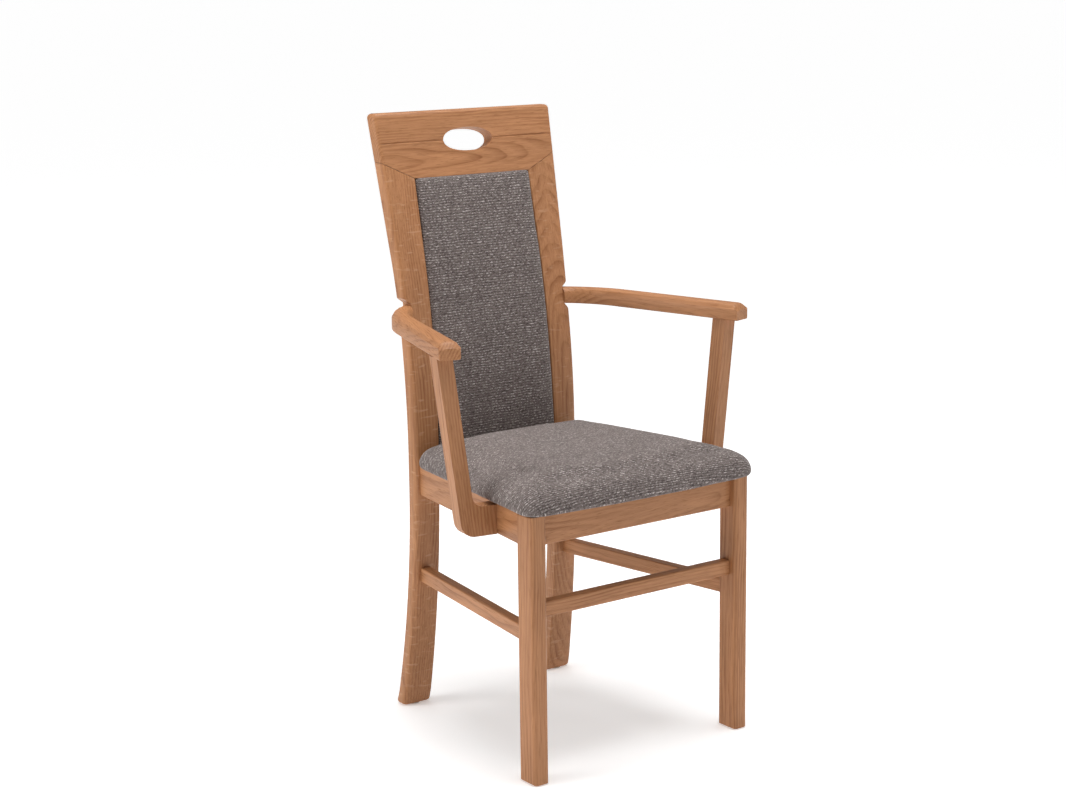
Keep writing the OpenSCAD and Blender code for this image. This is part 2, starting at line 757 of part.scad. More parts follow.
place() side(true) rear_leg();  // rear_leg_left
place() side(false) rear_leg();  // rear_leg_right
place() top_rail();
place() rear_rail();
place() side(true) front_leg();  // front_leg_left
place() side(false) front_leg();  // front_leg_right
place() front_rail();
place() side(true) side_rail();  // side_rail_left
place() side(false) side_rail();  // side_rail_right
place() front_stretcher();
place() side(true) side_stretcher();  // side_stretcher_left
place() side(false) side_stretcher();  // side_stretcher_right
place() side(true) armrest();  // armrest_left
place() side(false) armrest();  // armrest_right
place() side(true) arm_support();  // arm_support_left
place() side(false) arm_support();  // arm_support_right
place() side(true) corner_block_front();  // corner_block_front_left
place() side(false) corner_block_front();  // corner_block_front_right
place() side(true) corner_block_rear();  // corner_block_rear_left
place() side(false) corner_block_rear();  // corner_block_rear_right
place() seat_board();
place() seat_foam();
place() seat_cover();
place() seat_dust_cover();
place() back_board();
place() back_foam();
place() back_cover();
place() back_rear_cover();
place() rail_dowels();
place() stretcher_dowels();
place() top_rail_dowels();
place() arm_dowels();
place() support_dowels();
place() panel_pins();
place() support_screws();
place() block_screws();
place() seat_screws();
place() side(true) foot_glide(front_foot);  // foot_glide_front_left
place() side(false) foot_glide(front_foot);  // foot_glide_front_right
place() side(true) foot_glide(rear_foot);  // foot_glide_rear_left
place() side(false) foot_glide(rear_foot);  // foot_glide_rear_right
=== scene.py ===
import json
import math
import bmesh
import bpy
from mathutils import Matrix, Vector


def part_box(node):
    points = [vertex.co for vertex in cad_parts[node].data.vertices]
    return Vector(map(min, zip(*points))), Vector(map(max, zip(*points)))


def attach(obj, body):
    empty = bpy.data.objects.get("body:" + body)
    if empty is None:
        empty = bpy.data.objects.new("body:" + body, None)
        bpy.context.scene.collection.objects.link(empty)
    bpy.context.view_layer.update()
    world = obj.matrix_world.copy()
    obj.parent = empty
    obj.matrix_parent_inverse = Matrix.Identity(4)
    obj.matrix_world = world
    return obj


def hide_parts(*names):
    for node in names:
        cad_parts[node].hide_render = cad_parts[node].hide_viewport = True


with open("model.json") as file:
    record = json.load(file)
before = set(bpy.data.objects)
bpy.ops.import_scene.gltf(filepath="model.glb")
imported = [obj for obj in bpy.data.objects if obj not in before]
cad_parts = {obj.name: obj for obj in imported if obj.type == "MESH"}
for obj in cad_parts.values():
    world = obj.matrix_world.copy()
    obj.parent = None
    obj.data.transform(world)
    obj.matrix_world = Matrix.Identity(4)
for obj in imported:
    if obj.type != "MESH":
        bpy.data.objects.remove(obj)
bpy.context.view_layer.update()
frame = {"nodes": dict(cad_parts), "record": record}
nodes = frame["nodes"]
root = "root"
mm = 0.001
print("frame loaded:", len(nodes), "nodes")


def srgb(code):
    parts = [int(code[i:i + 2], 16) / 255 for i in (1, 3, 5)]
    return tuple(p / 12.92 if p <= 0.04045 else ((p + 0.055) / 1.055) ** 2.4 for p in parts) + (1.0,)


# one node with its settings, and a value or a link for each input
def addNode(tree, kind, inputs=None, **settings):
    node = tree.nodes.new(kind)
    for name, value in settings.items():
        setattr(node, name, value)
    for name, value in (inputs or {}).items():
        if isinstance(value, bpy.types.NodeSocket):
            tree.links.new(value, node.inputs[name])
        else:
            node.inputs[name].default_value = value
    return node


def setRamp(node, stops):
    ramp = node.color_ramp
    while len(ramp.elements) < len(stops):
        ramp.elements.new(0.5)
    for element, (position, color) in zip(ramp.elements, stops):
        element.position = position
        element.color = color
    return node


def newMaterial(name, **shader):
    material = bpy.data.materials.new(name)
    material.use_nodes = True
    tree = material.node_tree
    bsdf = tree.nodes["Principled BSDF"]
    for key, value in shader.items():
        bsdf.inputs[key.replace("_", " ")].default_value = value
    return material, tree, bsdf


grey = {v: (v, v, v, 1.0) for v in (0.0, 0.25, 0.62, 1.0)}
white = grey[1.0]


# camera and light
view = {
    "place": (-2104.1, -2589.4, 1282.6),  # mm, from the front legs' face
    "depthShift": 252.323,                # from that face back to the row's origin
    "yaw": -36.01, "pitch": 11.42, "roll": -0.73,
    "lens": 71.15, "sensor": 36,
}


def makeCamera():
    yaw, pitch, roll = (math.radians(view[k]) for k in ("yaw", "pitch", "roll"))
    back = Vector((math.sin(yaw) * math.cos(pitch), -math.cos(yaw) * math.cos(pitch), math.sin(pitch)))
    right = (-back).cross(Vector((0, 0, 1))).normalized()
    up = right.cross(-back)
    camRight = math.cos(roll) * right + math.sin(roll) * up
    camUp = -math.sin(roll) * right + math.cos(roll) * up
    data = bpy.data.cameras.new("camera")
    data.lens = view["lens"]
    data.sensor_width = view["sensor"]
    camera = bpy.data.objects.new("camera", data)
    x, y, z = view["place"]
    place = Vector((x, y - view["depthShift"], z)) * mm
    camera.matrix_world = Matrix.Translation(place) @ Matrix((camRight, camUp, back)).transposed().to_4x4()
    bpy.context.scene.collection.objects.link(camera)
    bpy.context.scene.camera = camera


studio = {
    "world": 0.36,      # what the white room gives to the chair
    "card": (-0.58, -0.79, 0.2), "cardDim": 0.42,  # the side of the room that is kept dim, and how dim
    "cardFade": (0.1, 0.9),
    "backdrop": 1.0,    # what the lens sees of it
    "lights": [         # name, place, target, size, watts
        ("keyLeft", (-3.4, 1.0, 1.9), (0, 0, 0.6), 2.0, 56),
        ("fillRight", (2.4, -3.0, 1.6), (0, 0, 0.5), 2.0, 9),
        ("topSoft", (0.2, -0.3, 3.6), (0, 0, 0.4), 2.4, 110),
    ],
    "floor": "#fafafa", "floorHalf": 150,          # m, so wide that its edge is never seen
    "floorGlow": (0.32, 0.7), "glowFrom": (1, 5),  # near and far glow, and where it starts and ends in m
}


def makeStudio():
    world = bpy.data.worlds.new("studio")
    world.use_nodes = True
    tree = world.node_tree
    path = addNode(tree, "ShaderNodeLightPath")
    coord = addNode(tree, "ShaderNodeTexCoord")
    toCard = addNode(tree, "ShaderNodeVectorMath", {
        0: coord.outputs["Generated"], 1: Vector(studio["card"]).normalized()}, operation="DOT_PRODUCT")
    dimmed = addNode(tree, "ShaderNodeMapRange", {
        "Value": toCard.outputs["Value"],
        "From Min": studio["cardFade"][0], "From Max": studio["cardFade"][1],
        "To Min": studio["world"], "To Max": studio["world"] * studio["cardDim"]})
    strength = addNode(tree, "ShaderNodeMapRange", {
        "Value": path.outputs["Is Camera Ray"],
        "To Min": dimmed.outputs["Result"], "To Max": studio["backdrop"]})
    room = tree.nodes["Background"]
    room.inputs["Color"].default_value = white
    tree.links.new(strength.outputs["Result"], room.inputs["Strength"])
    bpy.context.scene.world = world
    for name, place, target, size, watts in studio["lights"]:
        data = bpy.data.lights.new(name, "AREA")
        data.shape = "SQUARE"
        data.size = size
        data.energy = watts
        lamp = bpy.data.objects.new(name, data)
        aim = (Vector(target) - Vector(place)).to_track_quat("-Z", "Y")
        lamp.matrix_world = Matrix.Translation(Vector(place)) @ aim.to_matrix().to_4x4()
        bpy.context.scene.collection.objects.link(lamp)
    mesh = bpy.data.meshes.new("floor")
    bm = bmesh.new()
    bmesh.ops.create_grid(bm, x_segments=1, y_segments=1, size=studio["floorHalf"])
    bm.to_mesh(mesh)
    bm.free()
    floor = bpy.data.objects.new("floor", mesh)
    bpy.context.scene.collection.objects.link(floor)
    # painted studio floor: matt and near white
    material, tree, bsdf = newMaterial("paintedFloorMatt",
                                       Base_Color=srgb(studio["floor"]), Roughness=0.9)
    bsdf.inputs["Specular IOR Level"].default_value = 0.1
    bsdf.inputs["Emission Color"].default_value = white
    coord = addNode(tree, "ShaderNodeTexCoord")  # the far floor fades into the backdrop
    far = addNode(tree, "ShaderNodeVectorMath", {0: coord.outputs["Object"]}, operation="LENGTH")
    glow = addNode(tree, "ShaderNodeMapRange", {
        "Value": far.outputs["Value"],
        "From Min": studio["glowFrom"][0], "From Max": studio["glowFrom"][1],
        "To Min": studio["floorGlow"][0], "To Max": studio["floorGlow"][1]})
    tree.links.new(glow.outputs["Result"], bsdf.inputs["Emission Strength"])
    mesh.materials.append(material)
    bpy.context.scene.view_settings.view_transform = "Standard"


makeCamera()
makeStudio()
print("camera and studio set")

# oiled oak, planed along the grain: ring lines, open pores and silvery ray flecks under a satin oil
oak = {
    "early": "#b78157", "late": "#895632", "pore": "#683e23", "fleck": "#c59a76",
    "ringMm": 5.0,      # spacing of the year rings
    "warpMm": 26,       # how far the rings wander
    "warpSizeMm": (340, 70), "fadeSizeMm": (240, 22), "toneSizeMm": (260, 60),  # along and across a board
    "poreMm": 1.3, "poreLengthMm": 34, "poreDark": 0.42, "poreDepthMm": 0.12,
    "fibreMm": 3.2, "fibreLengthMm": 90,
    "rayMm": 22, "rayThickMm": 6,
    "roughness": 0.5, "specular": 0.35,
    "seedStep": 0.731,  # m along the board between the cuts of two pieces
}


def oakMaterial(name, grain, seed, middle, flecks, pith, tilt):
    material, tree, bsdf = newMaterial(name, Roughness=oak["roughness"])
    bsdf.inputs["Specular IOR Level"].default_value = oak["specular"]
    turn = Vector(grain).normalized().rotation_difference(Vector((1, 0, 0))).to_matrix()
    lean = Matrix.Rotation(math.radians(tilt), 3, "Z") @ Matrix.Rotation(math.radians(tilt * 0.7), 3, "Y")
    lean = lean @ turn
    heart = Vector((seed * oak["seedStep"], *pith)) - lean @ middle  # from the middle of the piece
    coord = addNode(tree, "ShaderNodeTexCoord")
    place = addNode(tree, "ShaderNodeMapping", {
        "Vector": coord.outputs["Object"], "Rotation": lean.to_euler(), "Location": heart})
    board = place.outputs["Vector"]

    def stretched(along, across, detail, roughness=0.5):
        scaled = addNode(tree, "ShaderNodeVectorMath", {
            0: board, 1: (1000 / along, 1000 / across, 1000 / across)}, operation="MULTIPLY")
        return addNode(tree, "ShaderNodeTexNoise", {
            "Vector": scaled.outputs[0], "Scale": 1.0, "Detail": detail, "Roughness": roughness}).outputs["Fac"]

    # distance from the heart of the tree, pushed about by slow noise, cut into rings
    across = addNode(tree, "ShaderNodeVectorMath", {0: board, 1: (0, 1, 1)}, operation="MULTIPLY")
    radius = addNode(tree, "ShaderNodeVectorMath", {0: across.outputs[0]}, operation="LENGTH")
    warp = addNode(tree, "ShaderNodeMath", {
        0: stretched(*oak["warpSizeMm"], 2.0), 1: oak["warpMm"] / oak["ringMm"]}, operation="MULTIPLY")
    rings = addNode(tree, "ShaderNodeMath", {
        0: radius.outputs["Value"], 1: 1000 / oak["ringMm"], 2: warp.outputs[0]}, operation="MULTIPLY_ADD")
    ring = addNode(tree, "ShaderNodeMath", {0: rings.outputs[0]}, operation="FRACT")
    ringShade = setRamp(addNode(tree, "ShaderNodeValToRGB", {"Fac": ring.outputs[0]}), [
        (0.0, grey[0.25]), (0.35, grey[0.0]), (0.78, grey[0.62]), (0.93, white), (1.0, grey[0.25])])
    ringFade = addNode(tree, "ShaderNodeMapRange", {  # some rings are strong, others hardly show
        "Value": stretched(*oak["fadeSizeMm"], 2.0), "From Min": 0.36, "From Max": 0.66,
        "To Min": 0.06, "To Max": 0.62})
    ringSoft = addNode(tree, "ShaderNodeMath", {
        0: ringShade.outputs["Color"], 1: ringFade.outputs["Result"]}, operation="MULTIPLY")
    fibre = stretched(oak["fibreLengthMm"], oak["fibreMm"], 3.0, 0.6)
    shade = addNode(tree, "ShaderNodeMath", {
        0: fibre, 1: 0.75, 2: ringSoft.outputs[0]}, operation="MULTIPLY_ADD")
    bodyColor = setRamp(addNode(tree, "ShaderNodeValToRGB", {"Fac": shade.outputs[0]}), [
        (0.22, srgb(oak["early"])), (1.0, srgb(oak["late"]))])
    # slow change of tone along a board
    tone = addNode(tree, "ShaderNodeMapRange", {
        "Value": stretched(*oak["toneSizeMm"], 1.0), "From Min": 0.3, "From Max": 0.7,
        "To Min": 0.93, "To Max": 1.07})
    toned = addNode(tree, "ShaderNodeVectorMath", {
        0: bodyColor.outputs["Color"], "Scale": tone.outputs["Result"]}, operation="SCALE")
    pores = setRamp(addNode(tree, "ShaderNodeValToRGB", {
        "Fac": stretched(oak["poreLengthMm"], oak["poreMm"], 2.0)}), [(0.56, grey[0.0]), (0.72, white)])
    poreMask = addNode(tree, "ShaderNodeMath", {
        0: pores.outputs["Color"], 1: oak["poreDark"]}, operation="MULTIPLY")
    color = addNode(tree, "ShaderNodeMix", {
        "Factor": poreMask.outputs[0], 6: toned.outputs[0], 7: srgb(oak["pore"])}, data_type="RGBA")
    last = color.outputs[2]
    if flecks:
        # medullary rays: short pale dashes that lie across the grain
        ray = stretched(oak["rayThickMm"], oak["rayMm"], 1.0)
        rayShade = setRamp(addNode(tree, "ShaderNodeValToRGB", {"Fac": ray}), [
            (0.60, grey[0.0]), (0.74, white)])
        rayMask = addNode(tree, "ShaderNodeMath", {
            0: rayShade.outputs["Color"], 1: flecks}, operation="MULTIPLY")
        last = addNode(tree, "ShaderNodeMix", {
            "Factor": rayMask.outputs[0], 6: last, 7: srgb(oak["fleck"])}, data_type="RGBA").outputs[2]
    tree.links.new(last, bsdf.inputs["Base Color"])
    sheen = addNode(tree, "ShaderNodeMapRange", {
        "Value": pores.outputs["Color"],
        "To Min": oak["roughness"] - 0.04, "To Max": oak["roughness"] + 0.25})
    tree.links.new(sheen.outputs["Result"], bsdf.inputs["Roughness"])
    height = addNode(tree, "ShaderNodeMath", {
        0: fibre, 1: 0.35, 2: pores.outputs["Color"]}, operation="MULTIPLY_ADD")
    bump = addNode(tree, "ShaderNodeBump", {
        "Height": height.outputs[0], "Strength": 0.35, "Distance": oak["poreDepthMm"] * mm}, invert=True)
    tree.links.new(bump.outputs["Normal"], bsdf.inputs["Normal"])
    return material


# how the edges of the planed wood are broken
joinery = {"arrisMm": 0.9, "steps": 2, "smoothAngle": 32}
clean = {"weldMm": 0.01, "flatDegrees": 0.4}


def cleanCopy(node, name):
    mesh = nodes[node].data.copy()
    mesh.name = name
    mesh.materials.clear()
    if "custom_normal" in mesh.attributes:
        mesh.attributes.remove(mesh.attributes["custom_normal"])
    bm = bmesh.new()
    bm.from_mesh(mesh)
    bmesh.ops.remove_doubles(bm, verts=bm.verts, dist=clean["weldMm"] * mm)
    bmesh.ops.dissolve_limit(bm, angle_limit=math.radians(clean["flatDegrees"]),
                             verts=bm.verts, edges=bm.edges, delimit={"SHARP"})
    bm.to_mesh(mesh)
    bm.free()
    obj = bpy.data.objects.new(name, mesh)
    bpy.context.scene.collection.objects.link(obj)
    return obj


def finishWood(obj):
    bevel = obj.modifiers.new("arris", "BEVEL")
    bevel.width = joinery["arrisMm"] * mm
    bevel.segments = joinery["steps"]
    bevel.limit_method = "ANGLE"
    bevel.angle_limit = math.radians(joinery["smoothAngle"])
    bevel.harden_normals = True
    obj.data.polygons.foreach_set("use_smooth", [True] * len(obj.data.polygons))
    obj.data.set_sharp_from_angle(angle=math.radians(joinery["smoothAngle"]))


up, sideways = (0, 0, 1), (1, 0, 0)
splayRight, splayLeft = (-0.149, 0.989, 0), (0.149, 0.989, 0)
# node: grain direction, seed, ray flecks, how far the heart lies from the middle (m), its lean (degrees)
oakPieces = {
    "rear_leg_left": ((0.02, 0.05, 1), 1, 0.5, (0.010, 0.085), 1.2),
    "rear_leg_right": ((-0.02, 0.05, 1), 2, 0.4, (0.085, 0.012), 1.3),
    "top_rail": (sideways, 3, 0.0, (0.050, 0.020), 2.8),
    "rear_rail": (sideways, 4, 0.0, (0.05, 0.03), 1.5),
    "front_leg_left": (up, 5, 0.0, (0.055, 0.060), 0.6),
    "front_leg_right": (up, 6, 0.0, (0.040, 0.070), 0.6),
    "front_rail": (sideways, 7, 0.0, (0.045, 0.006), 3.2),
    "side_rail_left": (splayLeft, 8, 0.0, (0.07, 0.01), 1.6),
    "side_rail_right": (splayRight, 9, 0.0, (0.07, 0.01), 1.6),
    "front_stretcher": (sideways, 10, 0.0, (0.05, 0.03), 1.8),
    "side_stretcher_left": (splayLeft, 11, 0.0, (0.06, 0.03), 1.0),
    "side_stretcher_right": (splayRight, 12, 0.0, (0.05, 0.04), 1.0),
    "armrest_left": ((0.35, 0.94, 0), 13, 0.0, (0.05, 0.03), 1.8),
    "armrest_right": ((-0.35, 0.94, 0), 14, 0.0, (0.05, 0.03), 1.8),
    "arm_support_left": ((-0.13, 0, 1), 15, 0.0, (0.05, 0.05), 1.4),
    "arm_support_right": ((0.13, 0, 1), 16, 0.0, (0.05, 0.05), 1.4),
}

for node, (grain, seed, flecks, pith, tilt) in oakPieces.items():
    piece = cleanCopy(node, "oak_" + node)
    finishWood(piece)
    low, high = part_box(node)
    middle = (low + high) / 2
    piece.data.materials.append(oakMaterial("oakOiled_" + node, grain, seed, middle, flecks, pith, tilt))
    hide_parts(node)
    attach(piece, root)
print("oak pieces:", len(oakPieces))

# woven wool mix in several greys: a coarse, slightly slubbed weave with pale flecks, painted shade in the
# hollows of the weave and a soft matt bloom
cloth = {
    "ground": "#6f6562", "dark": "#4c4441", "fleck": "#c9c0bc",
    "rowMm": 4.6,        # one row of weft, drawn a little coarse so that it shows
    "threadMm": 3.4,     # warp threads
    "fleckMm": 3.8, "fleckThickMm": 1.6,
    "patchMm": 38,       # slow patches of wear
    "swayMm": 3.5,       # how far a row wanders
    "reliefMm": 0.55,
    "bloom": "#d8d0cc", "bloomWeight": 0.35,
    "edgeMm": 20, "sideMm": 12,  # over how much of an edge the cloth is carried round
}


# u and v run over the cloth in metres, carried round the edges by the depth under the crown
def layCloth(obj, place):
    mesh = obj.data
    places = [place(v) for v in mesh.vertices]
    layer = mesh.uv_layers.new(name="cloth")
    for loop in mesh.loops:
        layer.data[loop.index].uv = places[loop.vertex_index]


def overCrown(obj):
    crown = max(v.co.z for v in obj.data.vertices)

    def place(v):
        drop = crown - v.co.z
        edge = cloth["edgeMm"] * mm
        grown = 1 + drop * drop / (drop + edge) / max(v.co.xy.length, edge)
        return v.co.x * grown, v.co.y * grown
    return place


def overPanel(obj, side):
    front = max(v.co.y * side for v in obj.data.vertices)

    def place(v):
        drop = min(cloth["sideMm"] * mm, front - v.co.y * side) * (1 - max(0, v.normal.y * side))
        return v.co.x + v.normal.x * drop, v.co.z + v.normal.z * drop
    return place


def clothMaterial(name, seed):
    material, tree, bsdf = newMaterial(name, Roughness=0.92)
    bsdf.inputs["Specular IOR Level"].default_value = 0.18
    bsdf.inputs["Sheen Weight"].default_value = cloth["bloomWeight"]
    bsdf.inputs["Sheen Roughness"].default_value = 0.45
    bsdf.inputs["Sheen Tint"].default_value = srgb(cloth["bloom"])
    coord = addNode(tree, "ShaderNodeUVMap", uv_map="cloth")
    split = addNode(tree, "ShaderNodeSeparateXYZ", {"Vector": coord.outputs["UV"]})
    sway = addNode(tree, "ShaderNodeTexNoise", {"Vector": coord.outputs["UV"], "Scale": 26.0, "Detail": 1.0})
    swayed = addNode(tree, "ShaderNodeMath", {
        0: sway.outputs["Fac"], 1: cloth["swayMm"] * mm, 2: split.outputs["Y"]}, operation="MULTIPLY_ADD")

    def threads(value, spacingMm):
        turned = addNode(tree, "ShaderNodeMath", {
            0: value, 1: 2 * math.pi / (spacingMm * mm)}, operation="MULTIPLY")
        return addNode(tree, "ShaderNodeMath", {0: turned.outputs[0]}, operation="SINE").outputs[0]

    rows = threads(swayed.outputs[0], cloth["rowMm"])
    columns = threads(split.outputs["X"], cloth["threadMm"])
    weave = addNode(tree, "ShaderNodeMath", {0: rows, 1: columns}, operation="MULTIPLY")
    weaveUnit = addNode(tree, "ShaderNodeMath", {
        0: weave.outputs[0], 1: 0.5, 2: 0.5}, operation="MULTIPLY_ADD")
    flat = addNode(tree, "ShaderNodeCombineXYZ", {
        "X": split.outputs["X"], "Y": swayed.outputs[0], "Z": seed * 0.37})

    def flecks(lengthMm, thickMm, low, high, detail=1.0):
        scaled = addNode(tree, "ShaderNodeVectorMath", {
            0: flat.outputs[0], 1: (1000 / lengthMm, 1000 / thickMm, 1.0)}, operation="MULTIPLY")
        field = addNode(tree, "ShaderNodeTexNoise", {
            "Vector": scaled.outputs[0], "Scale": 1.0, "Detail": detail})
        return setRamp(addNode(tree, "ShaderNodeValToRGB", {"Fac": field.outputs["Fac"]}), [
            (low, grey[0.0]), (high, white)]).outputs["Color"]

    pale = flecks(cloth["fleckMm"], cloth["fleckThickMm"], 0.52, 0.72, 1.5)
    dark = flecks(cloth["fleckMm"] * 1.4, cloth["fleckThickMm"] * 1.2, 0.46, 0.66)
    patch = flecks(cloth["patchMm"], cloth["patchMm"] * 0.8, 0.35, 0.65, 2.0)
    ground = addNode(tree, "ShaderNodeMix", {
        "Factor": dark, 6: srgb(cloth["ground"]), 7: srgb(cloth["dark"])}, data_type="RGBA")
    rowUnit = addNode(tree, "ShaderNodeMath", {0: rows, 1: 0.45, 2: 0.55}, operation="MULTIPLY_ADD")
    paleMask = addNode(tree, "ShaderNodeMath", {0: pale, 1: rowUnit.outputs[0]}, operation="MULTIPLY")
    flecked = addNode(tree, "ShaderNodeMix", {
        "Factor": paleMask.outputs[0], 6: ground.outputs[2], 7: srgb(cloth["fleck"])}, data_type="RGBA")
    # painted shade: the colour is darker in the hollows of the weave and between the rows, and lighter on the
    # crests, then scaled by the slow patches of wear
    depth = addNode(tree, "ShaderNodeMapRange", {
        "Value": weaveUnit.outputs[0], "To Min": 0.82, "To Max": 1.12})
    worn = addNode(tree, "ShaderNodeMapRange", {"Value": patch, "To Min": 0.94, "To Max": 1.05})
    paintedWeaveShade = addNode(tree, "ShaderNodeMath", {
        0: rows, 1: 0.18, 2: depth.outputs["Result"]}, operation="MULTIPLY_ADD")
    weaveShadeAndWear = addNode(tree, "ShaderNodeMath", {
        0: paintedWeaveShade.outputs[0], 1: worn.outputs["Result"]}, operation="MULTIPLY")
    toned = addNode(tree, "ShaderNodeVectorMath", {
        0: flecked.outputs[2], "Scale": weaveShadeAndWear.outputs[0]}, operation="SCALE")
    tree.links.new(toned.outputs[0], bsdf.inputs["Base Color"])
    height = addNode(tree, "ShaderNodeMath", {
        0: pale, 1: 0.6, 2: weaveUnit.outputs[0]}, operation="MULTIPLY_ADD")
    bump = addNode(tree, "ShaderNodeBump", {
        "Height": height.outputs[0], "Strength": 0.6, "Distance": cloth["reliefMm"] * mm})
    tree.links.new(bump.outputs["Normal"], bsdf.inputs["Normal"])
    return material


def remeshed(obj, voxelMm):
    remesh = obj.modifiers.new("remesh", "REMESH")
    remesh.mode = "VOXEL"
    remesh.voxel_size = voxelMm * mm
    bakeModifiers(obj)


def bakeModifiers(obj):
    graph = bpy.context.evaluated_depsgraph_get()
    mesh = bpy.data.meshes.new_from_object(obj.evaluated_get(graph), depsgraph=graph)
    obj.modifiers.clear()
    obj.data = mesh


cover = {
    "quality": 5, "massKg": 0.3, "stretch": 15, "shear": 5, "bend": 0.5,
    "evenRounds": 14, "evenShare": 0.6,  # how often and how much the moves are averaged with their neighbours
}


# a closed pad blown up as cloth; no point moves further than the cap, and held points stay
def inflate(obj, values, isHeld):
    before = [(v.co.copy(), v.normal.copy()) for v in obj.data.vertices]
    pins = obj.vertex_groups.new(name="held")
    pins.add([v.index for v in obj.data.vertices if isHeld(v.co)], 1.0, "REPLACE")
    sim = obj.modifiers.new("cloth", "CLOTH")
    sim.settings.quality = cover["quality"]
    sim.settings.mass = cover["massKg"]
    sim.settings.use_pressure = True
    sim.settings.uniform_pressure_force = values["pressure"]
    sim.settings.vertex_group_mass = "held"
    sim.settings.tension_stiffness = cover["stretch"]
    sim.settings.compression_stiffness = cover["stretch"]
    sim.settings.shear_stiffness = cover["shear"]
    sim.settings.bending_stiffness = cover["bend"]
    sim.settings.effector_weights.gravity = 0
    sim.collision_settings.use_collision = False
    sim.point_cache.frame_start = 1
    sim.point_cache.frame_end = values["frames"]
    for step in range(1, values["frames"] + 1):
        bpy.context.scene.frame_set(step)
    bakeModifiers(obj)
    cap = values["capMm"] * mm
    moves = []
    for vertex, (old, facing) in zip(obj.data.vertices, before):
        move = vertex.co - old
        move -= facing * min(0, move.dot(facing))  # the cloth may not shrink off its filling
        moves.append(move * min(1, cap / max(move.length, cap / 100)))
    near = [[] for _ in moves]
    for first, second in (edge.vertices for edge in obj.data.edges):
        near[first].append(second)
        near[second].append(first)
    for _ in range(cover["evenRounds"]):
        moves = [move.lerp(sum((moves[n] for n in others), Vector()) / len(others), cover["evenShare"])
                 for move, others in zip(moves, near)]
    for vertex, (old, _), move in zip(obj.data.vertices, before, moves):
        vertex.co = old + move
    bpy.context.scene.frame_set(1)
    obj.vertex_groups.clear()


def relax(obj, rounds):
    bm = bmesh.new()
    bm.from_mesh(obj.data)
    for _ in range(rounds):
        bmesh.ops.smooth_vert(bm, verts=bm.verts, factor=0.5,
                              use_axis_x=True, use_axis_y=True, use_axis_z=True)
    bm.to_mesh(obj.data)
    bm.free()


def stretchTo(obj, low, high, axes):
    for axis in axes:
        places = [v.co[axis] for v in obj.data.vertices]
        start, grown = min(places), (high[axis] - low[axis]) / (max(places) - min(places))
        for v in obj.data.vertices:
            v.co[axis] = low[axis] + (v.co[axis] - start) * grown


def finishPad(obj, material, replaced):
    fine = obj.modifiers.new("subdivision", "SUBSURF")
    fine.levels = fine.render_levels = 1
    obj.data.polygons.foreach_set("use_smooth", [True] * len(obj.data.polygons))
    obj.data.materials.clear()
    obj.data.materials.append(material)
    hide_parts(*replaced)
    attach(obj, root)


seat = {
    "voxelMm": 5, "shrinkMm": 2.0, "pressure": 4.0, "capMm": 9, "frames": 20, "fill": 0.85,
    "heldMm": 3,                   # tacked down this far up from the underside
    "boardMm": 10, "boardEndMm": 12,  # no shrinking over the board, then more and more over the next stretch
}


def makeSeat():
    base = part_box("seat_cover")[0].z
    obj = cleanCopy("seat_cover", "seat_cushion")
    bm = bmesh.new()
    bm.from_mesh(obj.data)
    hull = bmesh.ops.convex_hull(bm, input=bm.verts)
    loose = hull["geom_interior"] + hull["geom_unused"]
    spare = [g for g in loose if isinstance(g, bmesh.types.BMVert)]
    bmesh.ops.delete(bm, geom=list(set(spare)), context="VERTS")
    kept = {f for f in hull["geom"] if isinstance(f, bmesh.types.BMFace)}
    bmesh.ops.delete(bm, geom=[f for f in bm.faces if f not in kept], context="FACES")
    bmesh.ops.recalc_face_normals(bm, faces=bm.faces)
    bm.to_mesh(obj.data)
    bm.free()
    remeshed(obj, seat["voxelMm"])
    relax(obj, 3)
    for v in obj.data.vertices:
        rise = min(1, max(0, (v.co.z - base - seat["boardMm"] * mm) / (seat["boardEndMm"] * mm)))
        v.co -= v.normal * seat["shrinkMm"] * mm * rise
        v.co.z = max(v.co.z, base)
    inflate(obj, seat, lambda co: co.z < base + seat["heldMm"] * mm)
    relax(obj, 2)
    for v in obj.data.vertices:
        v.co.z = max(v.co.z, base)
    layCloth(obj, overCrown(obj))
    finishPad(obj, clothMaterial("woolMixWoven_seat", 1), ("seat_cover", "seat_foam"))
    print("seat cushion:", len(obj.data.polygons), "faces")


backPad = {
    "voxelMm": 4, "swellMm": 1.2, "pressure": 4.0, "capMm": 3, "frames": 20, "fill": 0.9,
    "faces": -1,    # the side that shows, along the depth
    "tuckMm": 0.9,  # how far the cloth is pressed against the frame
}
rearPad = dict(backPad, faces=1)


def makePad(name, source, replaced, seed, values):
    obj = cleanCopy(source, name)
    remeshed(obj, values["voxelMm"])
    relax(obj, 2)
    for v in obj.data.vertices:
        v.co += v.normal * values["swellMm"] * mm
    inflate(obj, values, lambda co: False)
    relax(obj, 1)
    low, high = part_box(replaced[0])
    rim = Vector((1, 0, 1)) * values["tuckMm"] * mm
    stretchTo(obj, low - rim, high + rim, (0, 2))
    layCloth(obj, overPanel(obj, values["faces"]))
    finishPad(obj, clothMaterial("woolMixWoven_" + name, seed), replaced)
    print(name + ":", len(obj.data.polygons), "faces")


makeSeat()
makePad("back_pad", "back_foam", ("back_cover", "back_foam"), 2, backPad)
makePad("back_rear_pad", "back_rear_cover", ("back_rear_cover",), 3, rearPad)


